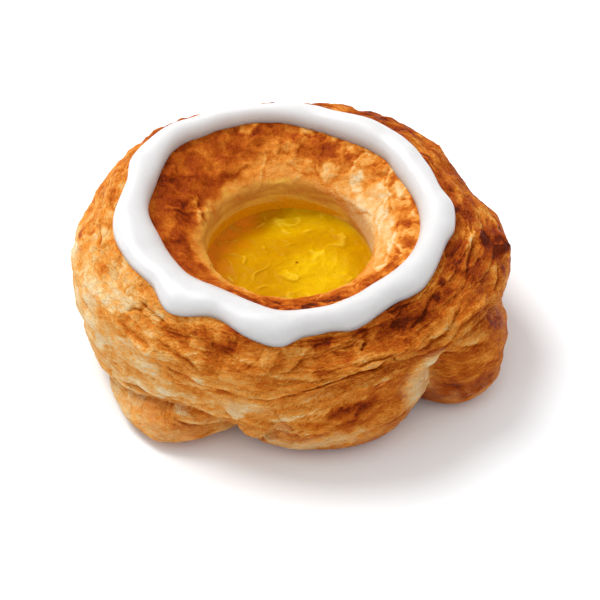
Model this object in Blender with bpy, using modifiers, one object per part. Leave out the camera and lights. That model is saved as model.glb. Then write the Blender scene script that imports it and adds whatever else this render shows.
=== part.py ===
"""A custard Danish pastry: laminated dough with a funnel-shaped well, folded under at the foot into five
lobes, with a pool of custard low in the well and a bead of white icing piped round the rim.

The dough is a lathe-turned blank whose rows are then laid on the pastry's own section, which changes as
it goes round. The icing is a ring laid on that section, so it keeps to the dough wherever the dough
bulges. Lengths are in metres and +Z is up. The front of the pastry faces -Y, and the origin is the middle
of the base. Angles round the pastry are in degrees from the front, growing towards +X.
"""

import bpy
import numpy as np
from mathutils import noise

MM = 0.001

# Each foot lobe: the angle of its middle and half the angle that it spans. They meet in notches.
LOBES = [(-46.9, 31.4), (14.0, 29.5), (68.7, 25.2), (136.9, 43.1), (230.6, 50.6)]
NOTCH_DEPTH = 8.0 * MM
NOTCH_ARCH = 4.2 * MM
FOOT_INSET = 8.5 * MM
BASE_RADIUS = 18.0 * MM

# Keys round the pastry, each an angle and a length in millimetres: how far the foot lobes reach, how high
# the crease of the fold runs and how deep it is, how the layers of the flank rise and dip, and how far the
# body and its shoulder reach. NOTCH_LEAN is in degrees: how far a notch leans from foot to crease.
LOBE_REACH = [
    (-90, 51.5), (-70, 50.5), (-56, 51.5), (-42, 55.2), (-35, 56.2), (-28, 53.8), (-20, 49.4), (-12, 48.6),
    (0, 50.2), (20, 51.8), (38, 50.6), (50, 56.0), (60, 57.2), (70, 55.0), (84, 53.4), (120, 52.5),
    (150, 51.5), (180, 50.5), (220, 52.0), (245, 51.5),
]
NOTCH_LEAN = [(20, 0.0), (36, 4.0), (46, 6.0), (56, 4.0), (70, 0.0), (180, 0.0)]
FOLD_HEIGHT = [
    (-78, 4.0), (-64, 4.2), (-51, 6.4), (-44, 7.6), (-38, 9.0), (-31, 10.6), (-23, 10.8), (-17, 7.6),
    (-12, 5.4), (-9, 6.2), (-3, 14.5), (2, 19.0), (8, 21.6), (13, 22.6), (19, 23.6), (28, 25.0), (36, 24.6),
    (45, 20.6), (50, 21.8), (57, 23.4), (65, 22.2), (76, 18.3), (84, 15.2), (94, 12.5), (112, 15.0),
    (137, 18.0), (180, 13.0), (205, 16.0), (228, 16.0), (255, 11.0),
]
CREASE_DEPTH = [
    (-90, 2.4), (-24, 2.4), (-17, 1.9), (-12, 1.2), (-8, 0.1), (-3, 0.0), (2, 0.7), (8, 1.8), (30, 2.0),
    (37, 1.0), (41, 0.2), (46, 0.6), (50, 2.2), (60, 2.6), (74, 3.6), (88, 3.6), (105, 2.6), (180, 2.4),
]
LAYER_HEIGHT = [
    (-78, 17.0), (-45, 18.5), (-26, 18.3), (-11, 18.3), (2, 20.5), (13, 23.5), (28, 26.0), (45, 24.0),
    (57, 26.0), (76, 18.0), (94, 14.0), (137, 18.0), (180, 15.0), (228, 17.0),
]
BODY_REACH = [
    (-90, 53.0), (-70, 52.8), (-45, 51.0), (-20, 50.0), (0, 49.8), (22, 49.5), (45, 51.0), (65, 53.0),
    (82, 54.0), (95, 53.0), (110, 49.8), (125, 49.0), (150, 49.5), (180, 48.5), (205, 48.0), (230, 50.0),
    (252, 52.0),
]
SHOULDER_REACH = [
    (-90, 46.5), (-45, 45.5), (0, 45.0), (45, 46.0), (80, 48.0), (98, 48.2), (104, 46.2), (112, 45.8),
    (124, 47.2), (138, 48.3), (152, 48.7), (166, 47.9), (180, 46.9), (200, 46.9), (214, 48.2), (222, 48.8),
    (234, 48.8), (245, 47.8), (256, 46.9),
]
# The icing bead's two edges, from the middle of the rim.
ICING_OUTER = [
    (-1, 44.2), (8, 41.9), (15, 41.7), (22, 42.7), (39, 40.8), (50, 41.8), (73, 40.3), (83, 41.4), (91, 41.2),
    (104, 38.9), (141, 40.0), (158, 39.0), (173, 40.2), (195, 39.5), (230, 42.3), (242, 41.9), (256, 39.2),
    (280, 40.9), (296, 40.2), (309, 39.6), (322, 42.6), (337, 39.4), (349, 42.5),
]
ICING_INNER = [
    (0, 35.2), (12, 35.9), (30, 34.2), (45, 33.5), (62, 33.8), (90, 32.8), (118, 31.9), (134, 33.0),
    (150, 32.5), (170, 33.8), (194, 35.5), (210, 35.5), (222, 36.2), (250, 32.9), (268, 32.3), (285, 30.1),
    (300, 29.8), (315, 30.6), (330, 29.5),
]

# Radii and heights of the dough's section.
BODY_HEIGHT = 23.5 * MM
SHOULDER_HEIGHT = 29.8 * MM
RIM_RADIUS = 37.5 * MM
RIM_HEIGHT = 33.2 * MM
RIM_OFFSET = (-2.1 * MM, 0.8 * MM)
MIDDLE = (-0.08 * MM, 0.91 * MM)
LIP_RADIUS = 20.6 * MM
LIP_HEIGHT = 25.0 * MM
WALL_RADIUS = 20.3 * MM
FLOOR_HEIGHT = 7.0 * MM
# The well follows the rim's offset by this share.
WELL_SHARE = 0.2

CUSTARD_HEIGHT = 16.8 * MM
CUSTARD_DOME = 0.6 * MM
ICING_THICKNESS = 3.2 * MM
GAP = 0.4 * MM

# The swellings of the baked dough, and the ledges where its layers end along the flank.
LUMP_SIZE = 11.0 * MM
LUMP_HEIGHT = 0.75 * MM
ROUND = 50.0 * MM
LEDGE_SIZE = (13.0 * MM, 13.0 * MM, 3.4 * MM)
LEDGE_DEPTH = 0.8 * MM

DOUGH_COLUMNS = 96
DOUGH_ROWS = [1, 1, 1, 2, 2, 1, 2, 2, 1, 1, 2, 2, 2, 2, 2, 2, 2, 2, 2, 2, 2, 1, 2, 2, 2]
ICING_ACROSS = 14
CUSTARD_COLUMNS = 48


def round_value(keys, angle):
    """A smooth closed curve through the keys, read at each angle. It never passes beyond its keys."""
    keys = sorted((at % 360.0, value) for at, value in keys)
    at = np.array([key[0] for key in keys])
    value = np.array([key[1] for key in keys])
    at = np.concatenate([at[-2:] - 360.0, at, at[:2] + 360.0])
    value = np.concatenate([value[-2:], value, value[:2]])
    step = np.diff(value) / np.diff(at)
    slope = np.gradient(value, at)
    turns = step[:-1] * step[1:] <= 0.0
    most = 3.0 * np.minimum(np.abs(step[:-1]), np.abs(step[1:]))
    slope[1:-1] = np.where(turns, 0.0, np.clip(slope[1:-1], -most, most))
    angle = np.asarray(angle) % 360.0
    left = np.clip(np.searchsorted(at, angle, side="right") - 1, 0, len(at) - 2)
    span = at[left + 1] - at[left]
    t = (angle - at[left]) / span
    rise = value[left] * (2 * t**3 - 3 * t**2 + 1) + value[left + 1] * (3 * t**2 - 2 * t**3)
    return rise + span * (slope[left] * (t**3 - 2 * t**2 + t) + slope[left + 1] * (t**3 - t**2))


def lobe_fullness(angle):
    """0 in a notch between two lobes and 1 in the middle of a lobe."""
    full = np.zeros_like(angle)
    for middle, half in LOBES:
        across = np.abs((angle - middle + 180.0) % 360.0 - 180.0) / half
        full = np.where(across <= 1.0, np.clip(1.0 - across**3.2, 0.0, 1.0) ** 0.55, full)
    return full


def lobe_reach(angle):
    """How far a lobe reaches from the axis, notches taken off."""
    return round_value(LOBE_REACH, angle) * MM - NOTCH_DEPTH * (1.0 - lobe_fullness(angle))


def stations(angle):
    """The section's stations at each angle, as points. They go from the middle of the base out, up the
    flank, over the rim, down the well and back to the axis."""
    full = lobe_fullness(angle)
    fold = round_value(FOLD_HEIGHT, angle) * MM
    lean = round_value(NOTCH_LEAN, angle)
    foot, low, lobe, high, top = (lobe_reach(angle - lean * share) for share in (0.0, 0.2, 0.45, 0.75, 1.0))
    body = round_value(BODY_REACH, angle) * MM
    shoulder = round_value(SHOULDER_REACH, angle) * MM
    arch = NOTCH_ARCH * (1.0 - full) ** 1.2
    depth = round_value(CREASE_DEPTH, angle) * MM
    crease = np.minimum(body, top + 2.0 * MM) - depth
    edge = crease + 0.55 * depth + 0.5 * np.maximum(0.0, body - top - 2.0 * MM)
    level = np.maximum(BODY_HEIGHT, fold + 3.5 * MM)
    funnel = RIM_RADIUS - LIP_RADIUS
    drop = RIM_HEIGHT - LIP_HEIGHT
    rows = [
        # The base and the foot of the lobe.
        (0.0, 0.0, 0.0),
        (BASE_RADIUS, 0.0, 0.0),
        (0.66 * foot, 0.0, 0.0),
        (foot - FOOT_INSET, 0.7 * arch, 0.0),
        (foot - 3.2 * MM, 1.7 * MM + arch, 0.0),
        # The lobe, up to the crease of the fold.
        (low - 0.6 * MM, 0.24 * fold + 0.8 * arch, 0.0),
        (lobe, 0.44 * fold + 0.5 * arch, 0.0),
        (high - 0.8 * MM, 0.68 * fold + 0.2 * arch, 0.0),
        (0.35 * top + 0.65 * crease, 0.92 * fold, 0.0),
        (crease, fold, 0.0),
        # The body above it, up to the shoulder and the rim.
        (edge, fold + 0.7 * MM, 0.0),
        (body - 0.3 * MM, 0.66 * fold + 9.2 * MM, 0.0),
        (body - 0.5 * MM, level, 0.15),
        (0.5 * (body + shoulder) + 0.65 * MM, 0.52 * level + 0.48 * SHOULDER_HEIGHT, 0.3),
        (shoulder, SHOULDER_HEIGHT, 0.5),
        (0.35 * shoulder + 0.65 * (RIM_RADIUS + 4.0 * MM), RIM_HEIGHT - 1.0 * MM, 1.0),
        (RIM_RADIUS + 1.0 * MM, RIM_HEIGHT, 1.0),
        (RIM_RADIUS - 3.0 * MM, RIM_HEIGHT - 0.5 * MM, 1.0),
        # The funnel down to the lip, and the well's wall and floor.
        (LIP_RADIUS + 0.62 * funnel - 1.0 * MM, LIP_HEIGHT + 0.72 * drop, 0.7),
        (LIP_RADIUS + 0.3 * funnel - 0.6 * MM, LIP_HEIGHT + 0.38 * drop, 0.4),
        (LIP_RADIUS, LIP_HEIGHT, WELL_SHARE),
        (WALL_RADIUS, LIP_HEIGHT - 3.4 * MM, WELL_SHARE),
        (WALL_RADIUS, CUSTARD_HEIGHT, WELL_SHARE),
        (WALL_RADIUS - 1.6 * MM, FLOOR_HEIGHT + 3.4 * MM, WELL_SHARE),
        (WALL_RADIUS - 6.0 * MM, FLOOR_HEIGHT + 0.6 * MM, WELL_SHARE),
        (0.0, FLOOR_HEIGHT, WELL_SHARE),
    ]
    east, south = np.sin(np.radians(angle)), np.cos(np.radians(angle))
    points = [
        np.stack(np.broadcast_arrays(r * east + s * RIM_OFFSET[0], s * RIM_OFFSET[1] - r * south, h), axis=1)
        for r, h, s in rows
    ]
    return np.array(points)


def on_section(angle, station):
    """The point of the smooth section at each angle and station number, whole or between two."""
    points = stations(angle)
    length = np.linalg.norm(np.diff(points, axis=0), axis=2, keepdims=True) + 1e-9
    way = np.diff(points, axis=0) / length
    bend = (length[:-1] * way[1:] + length[1:] * way[:-1]) / (length[:-1] + length[1:])
    bend = np.concatenate([way[:1], bend, way[-1:]])
    below = np.clip(np.floor(station).astype(int), 0, len(points) - 2)
    t = (station - below)[:, None]
    each = np.arange(len(angle))
    reach = length[below, each]
    found = points[below, each] * (2 * t**3 - 3 * t**2 + 1) + points[below + 1, each] * (3 * t**2 - 2 * t**3)
    found += reach * (bend[below, each] * (t**3 - 2 * t**2 + t) + bend[below + 1, each] * (t**3 - t**2))
    found[:, 2] = np.maximum(found[:, 2], 0.0)
    return found


def grain(points, size):
    """Soft noise from about -1 to 1 at each point. Its size is one length, or one along each axis."""
    return np.array([noise.noise(point) for point in (points / np.asarray(size)).tolist()])


def layer_place(angle, points):
    """Each point's place along the dough's layers: round the pastry, and up from one layer to the next. The
    layers dip and rise with the folds low on the flank, and lie level at the rim."""
    follow = np.clip((RIM_HEIGHT - points[:, 2]) / (12.0 * MM), 0.0, 1.0)
    dip = (round_value(LAYER_HEIGHT, angle) - 18.0) * MM
    turn = np.radians(angle)
    return np.stack([ROUND * np.sin(turn), -ROUND * np.cos(turn), points[:, 2] - follow * dip], axis=1)


def on_dough(angle, station):
    """The point of the dough's lumpy surface, with the ledges of its layers, at each angle and station."""
    points = on_section(angle, station)
    flank = np.clip((station - 4.0) / 2.0, 0.0, 1.0) * np.clip((15.5 - station) / 2.0, 0.0, 1.0)
    top = np.clip((station - 13.5) / 2.0, 0.0, 1.0) * np.clip((20.0 - station) / 2.0, 0.0, 1.0)
    swell = LUMP_HEIGHT * (grain(points, LUMP_SIZE) + 0.5 * grain(points, 0.5 * LUMP_SIZE))
    ledge = LEDGE_DEPTH * grain(layer_place(angle, points), LEDGE_SIZE)
    points[:, 0] += flank * (swell + ledge) * np.sin(np.radians(angle))
    points[:, 1] -= flank * (swell + ledge) * np.cos(np.radians(angle))
    points[:, 2] += 0.7 * top * swell
    return points


def read_points(mesh):
    points = np.empty(len(mesh.vertices) * 3)
    mesh.vertices.foreach_get("co", points)
    return points.reshape(-1, 3)


def place_points(mesh, points):
    """Every piece is moved by MIDDLE too, which brings the middle of the pastry onto the origin."""
    mesh.vertices.foreach_set("co", (points + np.array([*MIDDLE, 0.0])).ravel())
    mesh.update()


def turned(name, line, columns):
    """A mesh object turned from a line of (radius, height) about Z."""
    profile = bpy.data.meshes.new(name)
    profile.from_pydata([(r, 0.0, h) for r, h in line], [(i, i + 1) for i in range(len(line) - 1)], [])
    obj = bpy.data.objects.new(name, profile)
    bpy.context.scene.collection.objects.link(obj)
    screw = obj.modifiers.new("Turn", "SCREW")
    screw.steps = screw.render_steps = columns
    screw.use_merge_vertices = True
    screw.merge_threshold = 0.0001
    screw.use_normal_flip = True
    bpy.context.view_layer.update()
    made = bpy.data.meshes.new_from_object(obj.evaluated_get(bpy.context.evaluated_depsgraph_get()))
    obj.modifiers.clear()
    obj.data = made
    bpy.data.meshes.remove(profile)
    made.name = name
    return obj


def finish_piece(obj, colour, roughness):
    material = bpy.data.materials.new(obj.name)
    material.use_nodes = True
    surface = material.node_tree.nodes["Principled BSDF"]
    surface.inputs["Base Color"].default_value = (*colour, 1.0)
    surface.inputs["Roughness"].default_value = roughness
    surface.inputs["Metallic"].default_value = 0.0
    obj.data.materials.append(material)
    obj.data.shade_smooth()


def make_dough():
    """The blank is a drum whose height at each row is that row's station number."""
    rows = [k + i / steps for k, steps in enumerate(DOUGH_ROWS) for i in range(steps)] + [len(DOUGH_ROWS)]
    drum = [(0.0 if h in (0, len(DOUGH_ROWS)) else 1.0, float(h)) for h in rows]
    dough = turned("pastry", drum, DOUGH_COLUMNS)
    blank = read_points(dough.data)
    angle = np.degrees(np.arctan2(blank[:, 0], -blank[:, 1]))
    place_points(dough.data, on_dough(angle, blank[:, 2]))
    finish_piece(dough, (0.55, 0.25, 0.07), 0.6)
    return dough


def make_custard():
    """The pool, with its top level in the well and its sides just clear of the wall and floor."""
    reach = WALL_RADIUS - GAP
    line = [
        (0.0, FLOOR_HEIGHT + GAP),
        (reach - 6.2 * MM, FLOOR_HEIGHT + 0.9 * MM + GAP),
        (reach - 1.9 * MM, FLOOR_HEIGHT + 3.8 * MM + GAP),
        (reach, CUSTARD_HEIGHT - 1.0 * MM),
        (reach, CUSTARD_HEIGHT + 0.2 * MM),
        (0.8 * reach, CUSTARD_HEIGHT),
        (0.4 * reach, CUSTARD_HEIGHT + 0.8 * CUSTARD_DOME),
        (0.0, CUSTARD_HEIGHT + CUSTARD_DOME),
    ]
    custard = turned("custard", line, CUSTARD_COLUMNS)
    middle = np.array([WELL_SHARE * RIM_OFFSET[0], WELL_SHARE * RIM_OFFSET[1], 0.0])
    place_points(custard.data, read_points(custard.data) + middle)
    finish_piece(custard, (0.85, 0.48, 0.02), 0.3)
    return custard


def dough_top(angle, radius):
    """The height of the dough at each angle and distance from the middle of the rim."""
    height = np.empty_like(radius)
    station = np.arange(14.0, 19.5, 0.1)
    for each in np.unique(np.round(angle, 3)):
        line = on_dough(np.full_like(station, each), station)
        along = np.hypot(line[:, 0] - RIM_OFFSET[0], line[:, 1] - RIM_OFFSET[1])
        here = np.abs(angle - each) < 0.01
        height[here] = np.interp(radius[here], along[::-1], line[::-1, 2])
    return height


def make_icing():
    """A ring whose section is laid on the rim between the bead's inner and outer edges."""
    bpy.ops.mesh.primitive_torus_add(
        major_radius=1.0, minor_radius=0.1, major_segments=DOUGH_COLUMNS, minor_segments=ICING_ACROSS
    )
    icing = bpy.context.object
    icing.name = icing.data.name = "icing"
    x, y, z = read_points(icing.data).T
    angle = np.degrees(np.arctan2(x, -y))
    turn = np.arctan2(z, np.hypot(x, y) - 1.0)
    inner = round_value(ICING_INNER, angle) * MM
    outer = round_value(ICING_OUTER, angle) * MM
    radius = 0.5 * (inner + outer) + 0.5 * (outer - inner) * np.cos(turn)
    rise = ICING_THICKNESS * np.clip(np.sin(turn), 0.0, 1.0) ** 0.8
    height = dough_top(angle, radius) + GAP + rise
    east, south = np.sin(np.radians(angle)), np.cos(np.radians(angle))
    place_points(
        icing.data,
        np.stack([radius * east + RIM_OFFSET[0], RIM_OFFSET[1] - radius * south, height], axis=1),
    )
    finish_piece(icing, (0.9, 0.9, 0.9), 0.35)
    return icing


for old in list(bpy.data.objects):
    bpy.data.objects.remove(old)
pieces = [make_dough(), make_custard(), make_icing()]
pastry_collection = bpy.data.collections.new("custard_danish")
bpy.context.scene.collection.children.link(pastry_collection)
for piece in pieces:
    for holder in list(piece.users_collection):
        holder.objects.unlink(piece)
    pastry_collection.objects.link(piece)
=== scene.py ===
import bpy
import numpy as np
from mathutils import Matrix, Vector, noise


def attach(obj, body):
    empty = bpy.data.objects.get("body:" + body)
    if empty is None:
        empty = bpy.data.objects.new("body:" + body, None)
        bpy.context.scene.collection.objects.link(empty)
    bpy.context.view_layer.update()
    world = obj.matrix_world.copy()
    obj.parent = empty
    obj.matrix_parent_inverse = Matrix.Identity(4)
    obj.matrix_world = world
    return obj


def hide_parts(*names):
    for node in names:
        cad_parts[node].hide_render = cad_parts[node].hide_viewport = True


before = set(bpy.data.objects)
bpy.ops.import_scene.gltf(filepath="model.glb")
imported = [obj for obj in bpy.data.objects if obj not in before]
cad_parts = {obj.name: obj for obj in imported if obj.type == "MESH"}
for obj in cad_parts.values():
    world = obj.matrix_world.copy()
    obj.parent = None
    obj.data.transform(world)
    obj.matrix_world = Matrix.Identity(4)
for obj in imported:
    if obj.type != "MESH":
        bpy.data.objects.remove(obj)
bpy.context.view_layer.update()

# The dough's form
# One piece of laminated dough, rolled and folded with butter, shaped round a funnel-shaped well and tucked
# under at the foot into five lobes that meet in notches.
MM = 0.001
# The section changes round the pastry. It is a row of stations: 0 in the middle of the base, 4 at the foot,
# 9 in the crease of the fold, 14 on the shoulder, 16 on the rim, 20 on the well's lip, 22 at the custard's
# level and 25 in the middle of the well's floor. Angles are in degrees from the front, towards +X. Each lobe
# is the angle of its middle and half the angle that it spans.
LOBES = [(-46.9, 31.4), (14.0, 29.5), (68.7, 25.2), (136.9, 43.1), (230.6, 50.6)]
NOTCH_DEPTH = 8.0 * MM
NOTCH_ARCH = 4.2 * MM
FOOT_INSET = 8.5 * MM
BASE_RADIUS = 18.0 * MM
# Each list from here gives a value at some angles, in millimetres. The lean of the notches is in degrees.
LOBE_REACH = [
    (-90, 51.5), (-70, 50.5), (-56, 51.5), (-42, 55.2), (-35, 56.2), (-28, 53.8), (-20, 49.4), (-12, 48.6),
    (0, 50.2), (20, 51.8), (38, 50.6), (50, 56.0), (60, 57.2), (70, 55.0), (84, 53.4), (120, 52.5),
    (150, 51.5), (180, 50.5), (220, 52.0), (245, 51.5),
]
NOTCH_LEAN = [(20, 0.0), (36, 4.0), (46, 6.0), (56, 4.0), (70, 0.0), (180, 0.0)]
FOLD_HEIGHT = [
    (-78, 4.0), (-64, 4.2), (-51, 6.4), (-44, 7.6), (-38, 9.0), (-31, 10.6), (-23, 10.8), (-17, 7.6),
    (-12, 5.4), (-9, 6.2), (-3, 14.5), (2, 19.0), (8, 21.6), (13, 22.6), (19, 23.6), (28, 25.0), (36, 24.6),
    (45, 20.6), (50, 21.8), (57, 23.4), (65, 22.2), (76, 18.3), (84, 15.2), (94, 12.5), (112, 15.0),
    (137, 18.0), (180, 13.0), (205, 16.0), (228, 16.0), (255, 11.0),
]
CREASE_DEPTH = [
    (-90, 2.4), (-24, 2.4), (-17, 1.9), (-12, 1.2), (-8, 0.1), (-3, 0.0), (2, 0.7), (8, 1.8), (30, 2.0),
    (37, 1.0), (41, 0.2), (46, 0.6), (50, 2.2), (60, 2.6), (74, 3.6), (88, 3.6), (105, 2.6), (180, 2.4),
]
LAYER_HEIGHT = [
    (-78, 17.0), (-45, 18.5), (-26, 18.3), (-11, 18.3), (2, 20.5), (13, 23.5), (28, 26.0), (45, 24.0),
    (57, 26.0), (76, 18.0), (94, 14.0), (137, 18.0), (180, 15.0), (228, 17.0),
]
BODY_REACH = [
    (-90, 53.0), (-70, 52.8), (-45, 51.0), (-20, 50.0), (0, 49.8), (22, 49.5), (45, 51.0), (65, 53.0),
    (82, 54.0), (95, 53.0), (110, 49.8), (125, 49.0), (150, 49.5), (180, 48.5), (205, 48.0), (230, 50.0),
    (252, 52.0),
]
SHOULDER_REACH = [
    (-90, 46.5), (-45, 45.5), (0, 45.0), (45, 46.0), (80, 48.0), (98, 48.2), (104, 46.2), (112, 45.8),
    (124, 47.2), (138, 48.3), (152, 48.7), (166, 47.9), (180, 46.9), (200, 46.9), (214, 48.2), (222, 48.8),
    (234, 48.8), (245, 47.8), (256, 46.9),
]
BODY_HEIGHT = 23.5 * MM
SHOULDER_HEIGHT = 29.8 * MM
RIM_RADIUS = 37.5 * MM
RIM_HEIGHT = 33.2 * MM
RIM_OFFSET = (-2.1 * MM, 0.8 * MM)
MIDDLE = (-0.08 * MM, 0.91 * MM)
LIP_RADIUS = 20.6 * MM
LIP_HEIGHT = 25.0 * MM
WALL_RADIUS = 20.3 * MM
FLOOR_HEIGHT = 7.0 * MM
WELL_SHARE = 0.2
CUSTARD_HEIGHT = 16.8 * MM
# The lumps of the dough and the ledges of its layers.
LUMP_SIZE = 11.0 * MM
LUMP_HEIGHT = 0.75 * MM
ROUND = 50.0 * MM
LEDGE_SIZE = (13.0 * MM, 13.0 * MM, 3.4 * MM)
LEDGE_DEPTH = 0.8 * MM


def round_value(keys, angle):
    """A smooth closed curve through the keys, read at each angle. It never passes beyond its keys."""
    keys = sorted((at % 360.0, value) for at, value in keys)
    at = np.array([key[0] for key in keys])
    value = np.array([key[1] for key in keys])
    at = np.concatenate([at[-2:] - 360.0, at, at[:2] + 360.0])
    value = np.concatenate([value[-2:], value, value[:2]])
    step = np.diff(value) / np.diff(at)
    slope = np.gradient(value, at)
    turns = step[:-1] * step[1:] <= 0.0
    most = 3.0 * np.minimum(np.abs(step[:-1]), np.abs(step[1:]))
    slope[1:-1] = np.where(turns, 0.0, np.clip(slope[1:-1], -most, most))
    angle = np.asarray(angle) % 360.0
    left = np.clip(np.searchsorted(at, angle, side="right") - 1, 0, len(at) - 2)
    span = at[left + 1] - at[left]
    t = (angle - at[left]) / span
    rise = value[left] * (2 * t**3 - 3 * t**2 + 1) + value[left + 1] * (3 * t**2 - 2 * t**3)
    return rise + span * (slope[left] * (t**3 - 2 * t**2 + t) + slope[left + 1] * (t**3 - t**2))


def lobe_fullness(angle):
    """0 in a notch between two lobes and 1 in the middle of a lobe."""
    full = np.zeros_like(angle)
    for middle, half in LOBES:
        across = np.abs((angle - middle + 180.0) % 360.0 - 180.0) / half
        full = np.where(across <= 1.0, np.clip(1.0 - across**3.2, 0.0, 1.0) ** 0.55, full)
    return full


def lobe_reach(angle):
    """How far a lobe reaches from the axis, notches taken off."""
    return round_value(LOBE_REACH, angle) * MM - NOTCH_DEPTH * (1.0 - lobe_fullness(angle))


def stations(angle):
    """The section's stations at each angle, as points."""
    full = lobe_fullness(angle)
    fold = round_value(FOLD_HEIGHT, angle) * MM
    lean = round_value(NOTCH_LEAN, angle)
    foot, low, lobe, high, top = (lobe_reach(angle - lean * share) for share in (0.0, 0.2, 0.45, 0.75, 1.0))
    body = round_value(BODY_REACH, angle) * MM
    shoulder = round_value(SHOULDER_REACH, angle) * MM
    arch = NOTCH_ARCH * (1.0 - full) ** 1.2
    depth = round_value(CREASE_DEPTH, angle) * MM
    crease = np.minimum(body, top + 2.0 * MM) - depth
    edge = crease + 0.55 * depth + 0.5 * np.maximum(0.0, body - top - 2.0 * MM)
    level = np.maximum(BODY_HEIGHT, fold + 3.5 * MM)
    funnel = RIM_RADIUS - LIP_RADIUS
    drop = RIM_HEIGHT - LIP_HEIGHT
    rows = [
        # The base and the foot of the lobe.
        (0.0, 0.0, 0.0),
        (BASE_RADIUS, 0.0, 0.0),
        (0.66 * foot, 0.0, 0.0),
        (foot - FOOT_INSET, 0.7 * arch, 0.0),
        (foot - 3.2 * MM, 1.7 * MM + arch, 0.0),
        # The lobe, up to the crease of the fold.
        (low - 0.6 * MM, 0.24 * fold + 0.8 * arch, 0.0),
        (lobe, 0.44 * fold + 0.5 * arch, 0.0),
        (high - 0.8 * MM, 0.68 * fold + 0.2 * arch, 0.0),
        (0.35 * top + 0.65 * crease, 0.92 * fold, 0.0),
        (crease, fold, 0.0),
        # The body above it, up to the shoulder and the rim.
        (edge, fold + 0.7 * MM, 0.0),
        (body - 0.3 * MM, 0.66 * fold + 9.2 * MM, 0.0),
        (body - 0.5 * MM, level, 0.15),
        (0.5 * (body + shoulder) + 0.65 * MM, 0.52 * level + 0.48 * SHOULDER_HEIGHT, 0.3),
        (shoulder, SHOULDER_HEIGHT, 0.5),
        (0.35 * shoulder + 0.65 * (RIM_RADIUS + 4.0 * MM), RIM_HEIGHT - 1.0 * MM, 1.0),
        (RIM_RADIUS + 1.0 * MM, RIM_HEIGHT, 1.0),
        (RIM_RADIUS - 3.0 * MM, RIM_HEIGHT - 0.5 * MM, 1.0),
        # The funnel down to the lip, and the well's wall and floor.
        (LIP_RADIUS + 0.62 * funnel - 1.0 * MM, LIP_HEIGHT + 0.72 * drop, 0.7),
        (LIP_RADIUS + 0.3 * funnel - 0.6 * MM, LIP_HEIGHT + 0.38 * drop, 0.4),
        (LIP_RADIUS, LIP_HEIGHT, WELL_SHARE),
        (WALL_RADIUS, LIP_HEIGHT - 3.4 * MM, WELL_SHARE),
        (WALL_RADIUS, CUSTARD_HEIGHT, WELL_SHARE),
        (WALL_RADIUS - 1.6 * MM, FLOOR_HEIGHT + 3.4 * MM, WELL_SHARE),
        (WALL_RADIUS - 6.0 * MM, FLOOR_HEIGHT + 0.6 * MM, WELL_SHARE),
        (0.0, FLOOR_HEIGHT, WELL_SHARE),
    ]
    east, south = np.sin(np.radians(angle)), np.cos(np.radians(angle))
    points = [
        np.stack(np.broadcast_arrays(r * east + s * RIM_OFFSET[0], s * RIM_OFFSET[1] - r * south, h), axis=1)
        for r, h, s in rows
    ]
    return np.array(points)


def on_section(angle, station):
    """The point of the smooth section at each angle and station number, whole or between two."""
    points = stations(angle)
    length = np.linalg.norm(np.diff(points, axis=0), axis=2, keepdims=True) + 1e-9
    way = np.diff(points, axis=0) / length
    bend = (length[:-1] * way[1:] + length[1:] * way[:-1]) / (length[:-1] + length[1:])
    bend = np.concatenate([way[:1], bend, way[-1:]])
    below = np.clip(np.floor(station).astype(int), 0, len(points) - 2)
    t = (station - below)[:, None]
    each = np.arange(len(angle))
    reach = length[below, each]
    found = points[below, each] * (2 * t**3 - 3 * t**2 + 1) + points[below + 1, each] * (3 * t**2 - 2 * t**3)
    found += reach * (bend[below, each] * (t**3 - 2 * t**2 + t) + bend[below + 1, each] * (t**3 - t**2))
    found[:, 2] = np.maximum(found[:, 2], 0.0)
    return found


def grain(points, size):
    """Soft noise from about -1 to 1 at each point. Its size is one length, or one along each axis."""
    return np.array([noise.noise(point) for point in (points / np.asarray(size)).tolist()])


def between(value, low, high):
    """0 below low, 1 above high and a smooth rise between them."""
    t = np.clip((value - low) / (high - low), 0.0, 1.0)
    return t * t * (3.0 - 2.0 * t)


def layer_place(angle, points):
    """Each point's place along the dough's layers: round the pastry, and up from one layer to the next. The
    layers dip and rise with the folds low on the flank, and lie level at the rim."""
    follow = np.clip((RIM_HEIGHT - points[:, 2]) / (12.0 * MM), 0.0, 1.0)
    dip = (round_value(LAYER_HEIGHT, angle) - 18.0) * MM
    turn = np.radians(angle)
    return np.stack([ROUND * np.sin(turn), -ROUND * np.cos(turn), points[:, 2] - follow * dip], axis=1)


def on_dough(angle, station):
    """The point of the dough's lumpy surface, with the ledges of its layers, at each angle and station."""
    points = on_section(angle, station)
    flank = np.clip((station - 4.0) / 2.0, 0.0, 1.0) * np.clip((15.5 - station) / 2.0, 0.0, 1.0)
    top = np.clip((station - 13.5) / 2.0, 0.0, 1.0) * np.clip((20.0 - station) / 2.0, 0.0, 1.0)
    swell = LUMP_HEIGHT * (grain(points, LUMP_SIZE) + 0.5 * grain(points, 0.5 * LUMP_SIZE))
    ledge = LEDGE_DEPTH * grain(layer_place(angle, points), LEDGE_SIZE)
    points[:, 0] += flank * (swell + ledge) * np.sin(np.radians(angle))
    points[:, 1] -= flank * (swell + ledge) * np.cos(np.radians(angle))
    points[:, 2] += 0.7 * top * swell
    return points


# The crust
# The dough's baked skin: thin sheets that end in ragged edges along the flank, blisters near the rim, and
# cracks where the folds pulled apart. It browned most on its high parts and stayed pale where a fresh
# layer shows.
COLUMNS = 500
FRONT_SHARE = 0.28
# Each stretch of the section is its first and last station and its count of rows. The flank's rows lie
# above the base and up to the rim, and the well's rows down from there to the custard.
STRETCHES = [(0, 2, 3), (2, 3, 4), (3, 9, 44), (9, 16, 70), (16, 22, 62), (22, 25, 8)]
FLANK_ROWS = slice(7, 122)
WELL_ROWS = slice(121, 180)
SKIN_SINK = 0.3 * MM
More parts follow.
